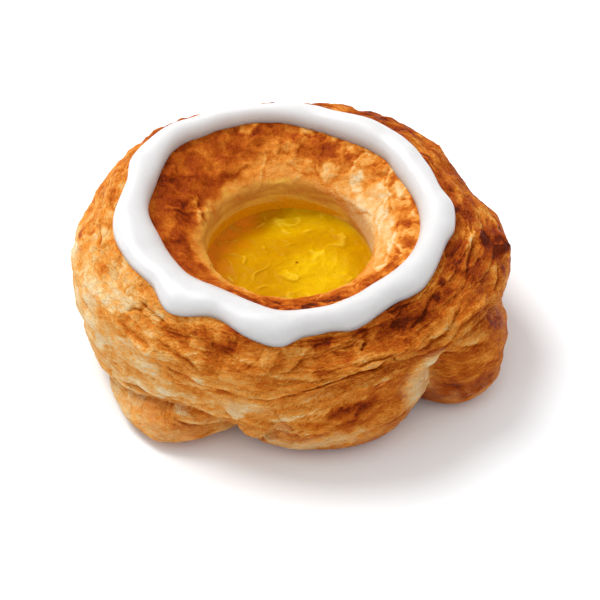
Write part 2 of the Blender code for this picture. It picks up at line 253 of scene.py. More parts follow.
# How brown the crust is at some angles, from 0 for pale to 1 for burnt, on the flank and in the well.
BAKE_ROUND = [
    (-110, 0.33), (-85, 0.25), (-62, 0.22), (-45, 0.31), (-28, 0.42), (-5, 0.44), (15, 0.53), (35, 0.57),
    (55, 0.58), (80, 0.58), (100, 0.60), (140, 0.60), (180, 0.62), (220, 0.50),
]
BAKE_WELL = [
    (-120, 0.78), (-95, 0.83), (-72, 0.77), (-47, 0.65), (-15, 0.72), (5, 0.77), (30, 0.71), (55, 0.66),
    (75, 0.54), (95, 0.48), (120, 0.47), (150, 0.56), (180, 0.65), (215, 0.73),
]
# The icing's two edges, as angles and millimetres from the rim's middle. The crust is smooth between them.
ICING_OUTER = [
    (-1, 44.2), (8, 41.9), (15, 41.7), (22, 42.7), (39, 40.8), (50, 41.8), (73, 40.3), (83, 41.4), (91, 41.2),
    (104, 38.9), (141, 40.0), (158, 39.0), (173, 40.2), (195, 39.5), (230, 42.3), (242, 41.9), (256, 39.2),
    (280, 40.9), (296, 40.2), (309, 39.6), (322, 42.6), (337, 39.4), (349, 42.5),
]
ICING_INNER = [
    (0, 35.2), (12, 35.9), (30, 34.2), (45, 33.5), (62, 33.8), (90, 32.8), (118, 31.9), (134, 33.0),
    (150, 32.5), (170, 33.8), (194, 35.5), (210, 35.5), (222, 36.2), (250, 32.9), (268, 32.3), (285, 30.1),
    (300, 29.8), (315, 30.6), (330, 29.5),
]
# Each crack is its depth, half width and the lift of the sheet above it in millimetres, and its line as
# angles and heights.
CRACKS = [
    (1.3, 0.45, 0.7, [(-5, 20.3), (2, 22.2), (7.5, 24.0), (13, 24.7), (18.5, 26.3), (24, 26.3), (28, 27.8)]),
    (0.3, 0.5, 0.6, [(-30, 21.6), (-23.5, 21.2), (-17.5, 20.8), (-11, 20.5), (-5, 20.3), (0, 21.6)]),
    (0.8, 0.4, 0.5, [(18, 27.9), (23.5, 28.6), (27.5, 28.6), (31, 28.4)]),
    (0.9, 0.5, 0.6, [(-54.5, 8.3), (-46.5, 9.9), (-41, 10.4), (-36.5, 10.9), (-30, 11.8), (-21.5, 12.4)]),
    (0.5, 0.4, 0.4, [(-35.5, 9.0), (-32, 9.0), (-27, 8.1), (-22.5, 7.2)]),
    (0.5, 0.5, 0.3, [(-19, 15.1), (-15.5, 12.0), (-11.5, 11.0)]),
    (0.4, 0.6, 0.3, [(-5, 20.3), (-4, 15.6), (-2, 12.5), (0, 10.4), (3, 8.0)]),
    (0.3, 0.5, 0.4, [(-52.5, 25.7), (-47, 26.0), (-41.5, 26.1), (-37, 25.5)]),
    (0.3, 0.5, 0.5, [(-52, 24.0), (-45.5, 23.7), (-38.5, 23.8), (-31, 24.0)]),
    (0.4, 0.5, 0.6, [(-38, 27.4), (-32.5, 27.2), (-28.5, 26.7), (-24.5, 24.9), (-22.5, 23.2)]),
    (0.4, 0.5, 0.5, [(-45, 22.6), (-37, 22.0), (-27.5, 22.2), (-23.5, 20.8), (-21, 19.3)]),
    (0.3, 0.5, 0.5, [(-1.5, 26.5), (3.5, 28.6), (6, 30.0), (10.5, 31.3)]),
    (0.9, 0.4, 0.3, [(24.5, 31.0), (24, 30.1), (21.5, 29.4)]),
    (0.8, 0.4, 0.2, [(29, 27.7), (30.5, 25.4)]),
    (0.4, 0.4, 0.4, [(10, 12.1), (14, 14.0), (18.5, 15.4)]),
    (0.5, 0.5, 0.4, [(43, 12.0), (40, 9.6), (34, 9.4), (28, 9.3), (22, 8.7), (15, 7.8)]),
    (0.3, 0.5, 0.6, [(41.5, 23.5), (46, 23.8), (52, 26.5), (57, 27.5), (67.5, 24.7)]),
    (0.4, 0.5, 0.5, [(35, 27.0), (40, 25.7), (46.5, 26.2), (52.5, 28.3), (57, 29.0)]),
    (0.5, 0.5, 0.5, [(46.5, 21.0), (52.5, 19.5), (57, 19.0), (60, 18.0)]),
    (0.6, 0.5, 0.4, [(85, 30.7), (78, 31.2), (71, 31.1), (64.5, 30.1)]),
    (0.4, 0.5, 0.4, [(57, 32.0), (49.5, 31.3), (43.5, 30.0), (37, 29.2)]),
    (0.5, 0.5, 0.4, [(79, 27.3), (75, 25.6), (69, 25.2)]),
    (0.4, 0.5, 0.3, [(-103.5, 29.8), (-94.5, 31.0), (-89, 30.0)]),
    (0.6, 0.5, 0.4, [(-86.5, 32.0), (-80, 31.3), (-76, 29.8)]),
    (0.5, 0.4, 0.3, [(-79, 28.9), (-75, 28.2)]),
    (0.5, 0.5, 0.5, [(-50.5, 31.6), (-47, 31.2), (-42, 31.0), (-38, 30.6)]),
    (0.5, 0.5, 0.5, [(-53.5, 28.4), (-51.5, 29.6), (-47, 30.6)]),
]
# Each patch is an angle, a height, its half width and half height in millimetres, and how much browner
# the crust is there, or paler where negative.
# The pale patch near -61 degrees on the left flank is partly a painted highlight, and the browner patch low
# on the right lobe near 51 degrees is partly painted shade near the table.
PATCHES = [
    (84.0, 30.0, 3.0, 1.9, 0.4), (84.5, 27.6, 2.6, 2.4, 0.34), (86.0, 25.8, 1.6, 1.6, 0.3),
    (78.5, 25.0, 1.2, 2.0, 0.25), (58.5, 32.0, 1.2, 1.0, 0.4), (53.0, 31.2, 1.1, 0.8, 0.3),
    (93.0, 33.0, 1.2, 0.9, 0.35), (9.5, 31.4, 6.5, 1.3, 0.22), (9.0, 28.0, 8.0, 2.5, 0.12),
    (24.0, 31.4, 2.2, 1.6, 0.25), (40.5, 31.6, 7.0, 3.0, 0.2), (50.0, 30.0, 7.0, 2.6, 0.13),
    (73.5, 32.3, 6.0, 1.8, 0.31), (-10.5, 26.4, 7.0, 2.5, 0.03), (-26.0, 29.6, 8.0, 2.2, 0.14),
    (-38.0, 27.0, 5.5, 1.2, 0.2), (-44.0, 29.5, 5.0, 2.6, -0.06), (-47.0, 19.3, 8.0, 3.5, -0.13),
    (-58.0, 28.7, 5.0, 3.2, -0.25), (-67.5, 26.0, 5.0, 5.0, -0.16), (-84.5, 28.9, 4.0, 2.6, 0.04),
    (-88.0, 29.7, 1.0, 1.9, 0.25), (-61.5, 16.5, 2.4, 3.2, -0.3), (-35.0, 7.8, 9.0, 3.5, 0.02),
    (-27.5, 6.9, 4.0, 2.5, 0.1), (15.5, 16.4, 6.0, 1.8, 0.22), (17.0, 14.6, 9.0, 4.0, 0.1),
    (15.0, 12.6, 5.0, 1.3, 0.15), (10.0, 7.2, 15.0, 2.6, -0.28), (-13.5, 17.5, 8.0, 3.5, -0.22),
    (39.5, 13.0, 6.0, 8.5, -0.4), (42.6, 21.0, 2.8, 2.6, -0.24), (51.5, 6.2, 9.0, 3.0, 0.2),
    (58.0, 21.4, 5.0, 2.0, -0.1), (127.0, 32.4, 8.0, 1.8, -0.31), (104.5, 32.0, 6.0, 1.5, -0.21),
    (94.5, 29.4, 4.0, 2.6, -0.12), (-90.5, 27.6, 2.6, 2.6, 0.25), (-89.0, 22.5, 2.6, 3.6, -0.2),
]
# Each fresh spot is an angle, a height, its half width and half height in millimetres, and how much of the
# pale dough under the browned sheets shows there.
FRESH_SPOTS = [
    # The spots near -61 and -86 degrees on the left flank are partly painted highlights.
    (38.5, 11.5, 7.5, 8.0, 0.4), (41.5, 15.0, 3.6, 7.5, 0.5), (43.0, 21.5, 3.4, 2.6, 0.4),
    (-61.0, 16.8, 2.4, 3.4, 0.4), (-66.0, 25.5, 3.0, 3.6, 0.35), (-86.0, 25.5, 1.6, 3.4, 0.5),
    (8.0, 7.0, 12.0, 2.8, 0.4), (-13.5, 17.0, 7.0, 3.0, 0.35), (-35.0, 5.5, 9.0, 2.6, 0.15),
    (-3.0, 11.0, 2.2, 3.0, 0.3),
]
# Each bump is an angle, a height, its half width and half height, and how far it stands out, all but the
# angle in millimetres. They are the burnt knobs at the right, and a low swell and a dent in the dough
# behind the icing, at the back left.
BUMPS = [
    (85.5, 26.8, 4.4, 4.2, 0.9), (83.5, 30.4, 2.8, 2.0, 0.5), (76.5, 31.8, 3.0, 1.6, 0.4),
    (-140.0, 31.5, 12.0, 3.5, 0.5), (-172.0, 33.0, 7.0, 4.0, -0.8),
]


def even_rows(angle):
    """The station number of each row in each column: in every stretch the rows lie evenly spaced."""
    rows = []
    for start, end, count in STRETCHES:
        fine = np.linspace(start, end, 10 * (end - start) + 1)
        line = np.array([on_section(angle, np.full_like(angle, station)) for station in fine])
        length = np.concatenate([np.zeros((1, len(angle))), np.linalg.norm(np.diff(line, axis=0), axis=2)])
        length = np.cumsum(length, axis=0)
        for k in range(count):
            reach = k / count * length[-1]
            rows.append([np.interp(reach[j], length[:, j], fine) for j in range(len(angle))])
    rows.append(np.full_like(angle, STRETCHES[-1][1]))
    return np.array(rows)


def outward(grid):
    """The unit normal at each point of a grid of rows and columns that closes round its columns."""
    along = np.roll(grid, -1, axis=1) - np.roll(grid, 1, axis=1)
    up = np.gradient(grid, axis=0)
    normal = np.cross(along, up)
    return normal / (np.linalg.norm(normal, axis=2, keepdims=True) + 1e-12)


even = np.linspace(-180.0, 180.0, COLUMNS, endpoint=False)
column_angle = even - np.degrees(FRONT_SHARE * np.sin(np.radians(even)))
station = even_rows(column_angle)
angle = np.broadcast_to(column_angle, station.shape)
skin = on_dough(angle.ravel(), station.ravel()).reshape(*station.shape, 3)
# Each point's length up the section from the rim, its distance from the axis, its height and its turn.
climb = np.linalg.norm(np.diff(skin, axis=0), axis=2)
climb = np.cumsum(np.concatenate([np.zeros((1, COLUMNS)), climb]), axis=0)
climb -= climb[FLANK_ROWS.stop - 1]
spots = skin.reshape(-1, 3)
reach_out = np.hypot(skin[..., 0], skin[..., 1])
form_height = skin[..., 2].copy()
turn = np.radians(angle)


def noise_on_skin(size, shift=0.0, place=spots):
    """Soft noise at each point of the skin. Each shift gives a noise of its own."""
    return grain(place + shift, size).reshape(station.shape)


def plates(size, shift, place=spots):
    """The skin broken into ragged plates: how near each point lies to its plate's edge, 1 on it and 0 well
    inside, and its plate's own value from -1 to 1."""
    edge, own = [], []
    for point in ((place + shift) / np.asarray(size)).tolist():
        bent = Vector(point) + 0.45 * noise.noise_vector(Vector(point) * 1.7)
        away, middles = noise.voronoi(bent)
        edge.append(max(0.0, 1.0 - 5.0 * (away[1] - away[0])))
        own.append(noise.cell(middles[0] * 3.7))
    return np.array(edge).reshape(station.shape), np.array(own).reshape(station.shape)


# The layers run round the flank. In the well the fibres of the torn dough run down its slope instead, so
# their way is stretched round the well and shortened down it.
WELL_REACH = 30.0 * MM
TURN_IN_REACH = 49.0 * MM
layers = layer_place(angle.ravel(), spots).reshape(*station.shape, 3)
layers[..., 2] += 0.8 * np.maximum(0.0, TURN_IN_REACH - reach_out) * between(station, 10.0, 13.0)
fibres = np.stack([4.0 * WELL_REACH * np.sin(turn), -4.0 * WELL_REACH * np.cos(turn), 0.25 * climb], axis=-1)
in_well = between(station, 15.9, 16.1)[..., None]
grain_way = (layers * (1.0 - in_well) + fibres * in_well).reshape(-1, 3)
layer = np.where(station > 16.0, form_height, layers[..., 2])

# How far each point belongs to a part of the crust, from 0 to 1.
outside = between(station, 3.0, 5.0) * between(station, 17.0, 15.5)
shoulder_part = between(station, 11.5, 14.5) * between(station, 17.0, 15.5)
well_part = between(station, 15.8, 17.0) * between(station, 24.0, 22.0)
crag = between(station, 15.8, 17.0) * between(station, 19.8, 18.4)
rim_reach = np.hypot(skin[..., 0] - RIM_OFFSET[0], skin[..., 1] - RIM_OFFSET[1]) / MM
inner_edge = round_value(ICING_INNER, column_angle)
outer_edge = round_value(ICING_OUTER, column_angle)
under_icing = between(rim_reach, inner_edge - 1.0, inner_edge + 0.4) * between(station, 13.0, 13.5)
under_icing *= between(rim_reach, outer_edge + 1.0, outer_edge - 0.4) * between(station, 20.0, 19.5)

# Relief is how far the skin stands out from the form; the other grid is its brownness, painted light
# included.
relief = np.zeros(station.shape)
bake_and_painted_light = round_value(BAKE_ROUND, angle) * outside + round_value(BAKE_WELL, angle) * (1.0 - outside)
# Torn edges wander by this much, in slow bends with fine fraying.
BEND_SIZE = 3.4 * MM
FRAY_SIZE = 1.3 * MM
ragged = 0.9 * MM * noise_on_skin(BEND_SIZE, 0.05) + 0.35 * MM * noise_on_skin(FRAY_SIZE, 0.02)


def lay_flake(middle, level, rows, half_length, half_height, tilt, lift, browner):
    """A thin sheet lying on the skin, thickest at its ragged lower edge, with a painted shadow just under
    that edge and a painted highlight along it. Its middle is an angle and a level of the layers."""
    away = np.radians((angle[rows] - middle + 180.0) % 360.0 - 180.0) * reach_out[rows]
    above = layer[rows] - level
    near = (np.abs(away) < half_length) & (np.abs(above) < 2.5 * half_height + 2.0 * MM)
    along = away[near] / half_length
    above = above[near] - tilt * away[near] + ragged[rows][near]
    bow = half_height * (1.0 - along**2)
    over = above + bow
    share = np.clip(over / (2.0 * bow + 1e-6), 0.0, 1.0)
    ends = between(1.0 - np.abs(along), 0.0, 0.3)
    form = between(over, 0.0, 0.3 * MM) * (1.0 - share) ** 0.8 * ends
    relief[rows][near] += lift * form
    bake_and_painted_light[rows][near] += browner * form
    # A painted highlight along the sheet's lower edge, and a painted shadow just under it.
    lit_edge = np.exp(-(((over - 0.3 * MM) / (0.3 * MM)) ** 2)) * ends
    shaded_edge = np.exp(-(((over + 0.25 * MM) / (0.3 * MM)) ** 2)) * ends
    bake_and_painted_light[rows][near] += 0.5 * lift / MM * (shaded_edge - lit_edge)


# Each kind of flake is its count, the rows that it lies on, the ranges of its level, half length and half
# height in millimetres, the spread of its tilt, the range of its lift in millimetres, and how much browner
# or paler it may be.
FLAKE_SEED = 7
FLAKE_KINDS = [
    (380, FLANK_ROWS, (4.0, 44.0), (2.5, 10.0), (0.5, 2.2), 0.13, (0.06, 0.3), 0.14),
    (90, WELL_ROWS, (25.0, 34.0), (2.0, 6.0), (0.5, 1.6), 0.3, (0.1, 0.35), 0.16),
]
chance = np.random.default_rng(FLAKE_SEED)
for count, rows, level, half_length, half_height, tilt_spread, lift, brown_spread in FLAKE_KINDS:
    for _ in range(count):
        lay_flake(
            chance.uniform(-180.0, 180.0), chance.uniform(*level) * MM, rows,
            chance.uniform(*half_length) * MM, chance.uniform(*half_height) * MM,
            chance.normal(0.0, tilt_spread), chance.uniform(*lift) * MM,
            chance.uniform(-brown_spread, brown_spread),
        )


def line_near(line):
    """How far above a line on the flank each point lies, and how near to the line's middle, from 0 to 1."""
    marks_at = np.array([at for at, _ in line], dtype=float)
    heights = np.array([high for _, high in line]) * MM
    order = np.argsort(marks_at)
    height = np.interp(column_angle, marks_at[order], heights[order])
    level = np.array([
        np.interp(height[j], form_height[FLANK_ROWS, j], climb[FLANK_ROWS, j]) for j in range(COLUMNS)
    ])
    share = (column_angle - marks_at.min()) / (np.ptp(marks_at) + 1e-6)
    fade = between(share, 0.0, 0.18) * between(share, 1.0, 0.82)
    return climb[FLANK_ROWS] - level, fade


for depth, width, lift, line in CRACKS:
    above, fade = line_near(line)
    above = above + 0.35 * ragged[FLANK_ROWS]
    groove = np.exp(-((above / (width * MM)) ** 2))
    lip = between(above, 0.0, 0.5 * MM) * np.exp(-np.maximum(above, 0.0) / (2.2 * MM))
    relief[FLANK_ROWS] += fade * (lift * lip - depth * groove) * MM
    # The groove is painted darker as painted shade, and the lifted lip paler as a painted highlight.
    bake_and_painted_light[FLANK_ROWS] += fade * (0.35 * depth * groove - 0.2 * lip)

# The skin is broken into thin plates, long ones along the flank's layers and blocky ones in the well and
# on the shoulder. Each lies a little higher or lower than the next, with a fine crack between. Without a
# seed noise_vector starts from the clock, and the plates would differ from run to run.
PLATE_SEED = 7
noise.seed_set(PLATE_SEED)
LONG_PLATE_SIZE = (7.0 * MM, 7.0 * MM, 1.9 * MM)
BLOCK_PLATE_SIZE = 3.6 * MM
BLISTER_SIZE = 4.4 * MM
PUCKER_SIZE = 3.0 * MM
KNOB_SIZE = 7.5 * MM
PIMPLE_SIZE = 1.5 * MM
WISP_SIZE = (9.0 * MM, 9.0 * MM, 1.7 * MM)
flank_crack, flank_plate = plates(LONG_PLATE_SIZE, 0.4, grain_way)
crag_crack, crag_plate = plates(BLOCK_PLATE_SIZE, 0.3)
blister = noise_on_skin(BLISTER_SIZE)
pucker = 1.0 - 2.4 * np.abs(noise_on_skin(PUCKER_SIZE, 0.07))
knobs = noise_on_skin(KNOB_SIZE, 0.3)
pimples = noise_on_skin(PIMPLE_SIZE)
wisps = noise_on_skin(WISP_SIZE, 0.6, grain_way)
wisp_line = np.clip(1.0 - 7.0 * np.abs(wisps), 0.0, 1.0) * between(noise_on_skin(9.0 * MM, 0.11), -0.25, 0.15)
relief += outside * (
    0.28 * MM * knobs + (0.16 + 0.34 * shoulder_part) * MM * blister
    + (0.04 + 0.2 * shoulder_part) * MM * pucker + 0.08 * MM * pimples - 0.1 * MM * wisp_line
)
relief += crag * (0.7 * MM * knobs + 0.6 * MM * blister + 0.25 * MM * pucker + 0.12 * MM * pimples)
relief += well_part * (1.0 - crag) * 0.12 * MM * blister
long_plates = outside * (1.0 - 0.8 * shoulder_part)
block_plates = np.maximum(crag, 0.7 * shoulder_part)
relief += long_plates * MM * (0.1 * flank_plate - 0.16 * flank_crack)
relief += block_plates * MM * (0.22 * crag_plate - 0.2 * crag_crack)
relief *= 1.0 - 0.92 * under_icing
relief -= SKIN_SINK * outside * (1.0 - under_icing)

# The crust is browner on the shoulder, and paler at the foot and low in the well, soonest at the lit back
# right.
# Clouds of three sizes vary it, less so low on the flank and at the front right. Each is its size, its shift
# and its share.
CLOUDS = [(13.0 * MM, 0.31, 0.14), (6.0 * MM, 0.17, 0.1), (2.6 * MM, 0.4, 0.07)]
STREAK_SIZE = (12.0 * MM, 12.0 * MM, 2.4 * MM)
# Paler towards the foot is partly painted bounce light from the table.
bake_and_painted_light += outside * (0.14 * shoulder_part - 0.05 * between(form_height, 8.0 * MM, 2.0 * MM))
# The well pales higher up on its lit back right side; that difference is painted light.
painted_light_side = between(np.cos(turn - np.radians(125.0)), -0.25, 0.35)
down_well = station + 0.5 * noise_on_skin(5.0 * MM, 0.23) + 0.2 * pimples
bake_and_painted_light -= well_part * painted_light_side * 0.28 * between(down_well, 18.2, 19.2)
bake_and_painted_light -= well_part * (1.0 - painted_light_side) * 0.28 * between(down_well, 19.0, 19.7)
calm = 1.0 - 0.45 * outside * between(form_height, 16.0 * MM, 11.0 * MM)
calm -= 0.3 * outside * between(np.cos(turn - np.radians(30.0)), 0.6, 0.9)
for size, shift, share in CLOUDS:
    bake_and_painted_light += calm * share * noise_on_skin(size, shift)
bake_and_painted_light += 0.05 * outside * noise_on_skin(STREAK_SIZE, 0.5, grain_way)
# Blister and knob tops brown more; the wisps' fine grooves are painted darker as painted shade.
bake_and_painted_light += 0.14 * shoulder_part * blister + 0.08 * crag * (blister + 0.7 * knobs) + 0.05 * outside * wisp_line
# A pale line beside each wisp groove is a painted highlight.
bake_and_painted_light -= 0.06 * outside * np.clip(1.0 - 6.0 * np.abs(wisps - 0.22), 0.0, 1.0)
# The fine cracks between plates are painted darker as painted shade; each plate's own tone varies.
bake_and_painted_light += long_plates * (0.07 * flank_crack - 0.06 * flank_plate)
# The left side of the well browned more evenly than the rest.
left_side = between(np.cos(turn + np.radians(110.0)), 0.0, 0.6)
even_brown = 1.0 - 0.6 * well_part * left_side
# Here too the cracks are painted darker as painted shade; each block's own tone varies.
bake_and_painted_light += even_brown * block_plates * (0.08 * crag_crack - 0.15 * crag_plate)
# Here and there a sheet has flaked off and shows the paler one under it, or baked on browner, with a sharp
# ragged edge.
FLAKED_SIZE = (7.0 * MM, 7.0 * MM, 2.6 * MM)
flaked = noise_on_skin(FLAKED_SIZE, 0.8, grain_way) + 0.35 * noise_on_skin(FRAY_SIZE, 0.35)
bake_and_painted_light += calm * outside * (0.06 * between(flaked, -0.2, -0.27) - 0.08 * between(flaked, 0.2, 0.27))
chipped = noise_on_skin(BEND_SIZE, 0.9) + 0.35 * noise_on_skin(FRAY_SIZE, 0.8)
bake_and_painted_light += even_brown * crag * (0.1 * between(chipped, -0.2, -0.27) - 0.2 * between(chipped, 0.2, 0.27))


def inside_spot(middle, height, half_width, half_height, outer, inner):
    """1 inside an oval spot of the flank and 0 outside it, between two shares of its size. Its edge is
    ragged."""
    column = int(np.argmin(np.abs(column_angle - middle)))
    level = np.interp(height * MM, form_height[FLANK_ROWS, column], climb[FLANK_ROWS, column])
    away = np.radians(angle[FLANK_ROWS] - middle) * reach_out[FLANK_ROWS] + 1.2 * ragged[FLANK_ROWS]
    above = climb[FLANK_ROWS] - level + ragged[FLANK_ROWS]
    return between(np.hypot(away / (half_width * MM), above / (half_height * MM)), outer, inner)


for *spot, browner in PATCHES:
    bake_and_painted_light[FLANK_ROWS] += browner * inside_spot(*spot, 1.3, 0.5)
for *spot, out in BUMPS:
    relief[FLANK_ROWS] += out * MM * inside_spot(*spot, 1.2, 0.2) * (1.0 + 0.5 * pucker[FLANK_ROWS])

# Duller, paler dough towards the foot stands partly for the table's bounce light and shade, painted in.
fresh_and_painted_light = 0.24 * outside * between(form_height, 13.0 * MM, 3.0 * MM)
for *spot, share in FRESH_SPOTS:
    fresh_and_painted_light[FLANK_ROWS] += share * inside_spot(*spot, 1.2, 0.6)
fresh_and_painted_light *= between(noise_on_skin(2.4 * MM, 0.37) + 0.5 * noise_on_skin(1.2 * MM, 0.2), -0.45, 0.05)

skin += relief[..., None] * outward(skin)
skin[..., 2] = np.maximum(skin[..., 2], 0.0)
bake_and_painted_light = np.clip(bake_and_painted_light, 0.0, 1.2)

# Custard has soaked the well's wall, up to a wandering line that is higher at the left and the back than at
# the right, partly as painted shade on the side away from the light. It is darkest low down.
STAIN_TOP = 27.8 * MM
STAIN_DROP = 8.8 * MM
STAIN_WANDER = 1.6 * MM
SOAK_SIZE = (9.0 * MM, 9.0 * MM, 1.5 * MM)
lit_side = 0.5 + 0.5 * np.cos(turn - np.radians(75.0))
stain_top = STAIN_TOP - STAIN_DROP * between(lit_side, 0.4, 0.9)
stain_top += STAIN_WANDER * noise_on_skin(5.0 * MM) + 0.5 * ragged
stain = between(skin[..., 2], stain_top, stain_top - 1.2 * MM)
stain *= between(station + 0.4 * noise_on_skin(2.5 * MM, 0.6) + 0.3 * pimples, 19.2, 20.0)
# It soaks deeper away from the light, partly as painted shade.
soak = between(skin[..., 2], 24.0 * MM, 18.0 * MM) * between(lit_side, 0.9, 0.5)
soak += 0.45 * noise_on_skin(SOAK_SIZE, 0.7)


def closed_mesh(name, grid, marks):
    """A mesh of the grid, whose first and last rows are each one point. Marks are values at each point."""
    rows, columns = grid.shape[:2]
    points = np.concatenate([grid[0, :1], grid[1:-1].reshape(-1, 3), grid[-1, :1]])
    ring = [(a, (a + 1) % columns) for a in range(columns)]
    last = 1 + (rows - 2) * columns
    faces = [(0, 1 + b, 1 + a) for a, b in ring]
    for row in range(rows - 3):
        low = 1 + row * columns
        high = low + columns
        faces += [(low + a, low + b, high + b, high + a) for a, b in ring]
    top = last - columns
    faces += [(top + a, top + b, last) for a, b in ring]
    mesh = bpy.data.meshes.new(name)
    mesh.from_pydata((points + np.array([*MIDDLE, 0.0])).tolist(), [], faces)
    for mark, values in marks.items():
        kind = "FLOAT_VECTOR" if values.ndim == 3 else "FLOAT"
        values = values.reshape(rows, columns, -1)
        values = np.concatenate([values[0, :1], values[1:-1].reshape(-1, values.shape[2]), values[-1, :1]])
        layer_of = mesh.attributes.new(mark, kind, "POINT")
        layer_of.data.foreach_set("vector" if kind == "FLOAT_VECTOR" else "value", values.ravel())
    mesh.shade_smooth()
    obj = bpy.data.objects.new(name, mesh)
    bpy.context.scene.collection.objects.link(obj)
    return obj


crust = closed_mesh("pastry_crust", skin, {
    "bake_and_painted_light": bake_and_painted_light, "fresh_and_painted_light": fresh_and_painted_light, "stain": stain, "soak": soak, "fibrous": 1.0 - 0.85 * well_part,
    "grain_way": grain_way.reshape(*station.shape, 3),
})


SURFACE_SHARE = 0.80


def shade(red, green, blue):
    """A colour as it looks on the lit pastry, turned into the shader's linear values. The light is strong
    enough to bleach the table, so a surface is darker than it looks."""
    seen = np.array([red, green, blue]) / 255.0
    linear = np.where(seen <= 0.04045, seen / 12.92, ((seen + 0.055) / 1.055) ** 2.4)
    return (*(SURFACE_SHARE * linear), 1.0)


def new_finish(piece, name):
    """A new material on the piece, as its node tree and surface shader."""
    finish = bpy.data.materials.new(name)
    finish.use_nodes = True
    piece.data.materials.append(finish)
    return finish.node_tree, finish.node_tree.nodes["Principled BSDF"]


def wire(tree, kind, inputs, **settings):
    """A new node with its settings, its inputs being values or the sockets that feed them."""
    node = tree.nodes.new(kind)
    for key, value in settings.items():
        setattr(node, key, value)
    for key, value in inputs.items():
        if isinstance(value, bpy.types.NodeSocket):
            tree.links.new(value, node.inputs[key])
        else:
            node.inputs[key].default_value = value
    return node


def mark_of(tree, name, output="Fac"):
    """The mesh's mark of that name."""
    return wire(tree, "ShaderNodeAttribute", {}, attribute_name=name).outputs[output]


def speckle(tree, place, scale, detail=3.0, rough=0.55):
    """Grain from 0 to 1, with that many grains to the metre."""
    inputs = {"Vector": place, "Scale": scale, "Detail": detail, "Roughness": rough}
    return wire(tree, "ShaderNodeTexNoise", inputs).outputs["Fac"]


def sum_up(tree, first, second, share, middle=0.5):
    """first + share * (second - middle)"""
    away = wire(tree, "ShaderNodeMath", {0: second, 1: middle}, operation="SUBTRACT").outputs[0]
    return wire(tree, "ShaderNodeMath", {0: away, 1: share, 2: first}, operation="MULTIPLY_ADD").outputs[0]


def ramp(tree, factor, stops):
    """The colour at the factor, between stops that are each a place from 0 to 1 and a colour."""
    node = wire(tree, "ShaderNodeValToRGB", {"Fac": factor})
    while len(node.color_ramp.elements) < len(stops):
        node.color_ramp.elements.new(0.5)
    for element, (at, colour) in zip(node.color_ramp.elements, stops):
        element.position = at
        element.color = colour
    return node.outputs["Color"]


def blend(tree, factor, first, second):
    """The first colour where the factor is 0 and the second where it is 1."""
    node = wire(tree, "ShaderNodeMix", {"Factor": factor}, data_type="RGBA")
    for socket, value in ((node.inputs[6], first), (node.inputs[7], second)):
        if isinstance(value, bpy.types.NodeSocket):
            tree.links.new(value, socket)
        else:
            socket.default_value = value
    return node.outputs[2]


def levels(tree, value, low, high, to_low=0.0, to_high=1.0):
    """The value with the range from low to high stretched to another range."""
    inputs = {"Value": value, "From Min": low, "From Max": high, "To Min": to_low, "To Max": to_high}
    return wire(tree, "ShaderNodeMapRange", inputs).outputs["Result"]


def crisp(tree, value, low, high):
    """The value as patches with clear edges: 0 below low and 1 above high."""
    inputs = {"Value": value, "From Min": low, "From Max": high}
    return wire(tree, "ShaderNodeMapRange", inputs, interpolation_type="SMOOTHSTEP").outputs["Result"]


tree, surface = new_finish(crust, "baked_crust")
place = wire(tree, "ShaderNodeTexCoord", {}).outputs["Object"]
along_layers = mark_of(tree, "grain_way", "Vector")
flow = wire(tree, "ShaderNodeMapping", {"Vector": along_layers, "Scale": (0.35, 0.35, 1.0)}).outputs["Vector"]
streak = speckle(tree, flow, 1200.0, 4.0, 0.62)
mottle = speckle(tree, place, 380.0, 6.0, 0.66)
grit = speckle(tree, place, 800.0, 3.0, 0.6)
flecks = speckle(tree, place, 2300.0, 3.0, 0.65)
streak = blend(tree, mark_of(tree, "fibrous"), grit, streak)
lines = speckle(tree, flow, 620.0, 3.0, 0.6)
folded = wire(tree, "ShaderNodeMath", {0: lines, 1: 0.5}, operation="PINGPONG").outputs[0]
crinkle = {0: crisp(tree, folded, 0.42, 0.5), 1: mark_of(tree, "fibrous")}
crinkle = wire(tree, "ShaderNodeMath", crinkle, operation="MULTIPLY").outputs[0]
baked_and_painted_light = sum_up(tree, mark_of(tree, "bake_and_painted_light"), crisp(tree, streak, 0.32, 0.68), 0.08)
baked_and_painted_light = sum_up(tree, baked_and_painted_light, crisp(tree, mottle, 0.40, 0.60), 0.06)
baked_and_painted_light = sum_up(tree, baked_and_painted_light, flecks, 0.36)
# The crinkle ridges are painted paler as a painted highlight.
baked_and_painted_light = sum_up(tree, baked_and_painted_light, crinkle, -0.09, 0.2)
crust_colour = ramp(tree, baked_and_painted_light, [
    (0.00, shade(251, 224, 178)),
    (0.15, shade(248, 205, 142)),
    (0.30, shade(245, 173, 86)),
    (0.45, shade(233, 143, 50)),
    (0.60, shade(206, 108, 24)),
    (0.75, shade(178, 78, 8)),
    (0.90, shade(144, 49, 1)),
    (1.00, shade(100, 31, 1)),
])
crust_colour = blend(tree, mark_of(tree, "fresh_and_painted_light"), crust_colour, shade(230, 176, 120))
glaze = ramp(tree, sum_up(tree, mark_of(tree, "soak"), mottle, 0.5), [
    (0.0, shade(226, 156, 62)),
    (0.35, shade(255, 204, 84)),
    (0.6, shade(250, 178, 24)),
    (1.0, shade(255, 180, 5)),
])
crust_colour = blend(tree, mark_of(tree, "stain"), crust_colour, glaze)
tree.links.new(crust_colour, surface.inputs["Base Color"])
tree.links.new(levels(tree, baked_and_painted_light, 0.2, 0.9, 0.66, 0.48), surface.inputs["Roughness"])
height = sum_up(tree, sum_up(tree, streak, mottle, 0.6), flecks, 0.5)
height = sum_up(tree, height, crinkle, 0.7)
bump = wire(tree, "ShaderNodeBump", {"Height": height, "Strength": 0.8, "Distance": 0.5 * MM})
tree.links.new(bump.outputs["Normal"], surface.inputs["Normal"])
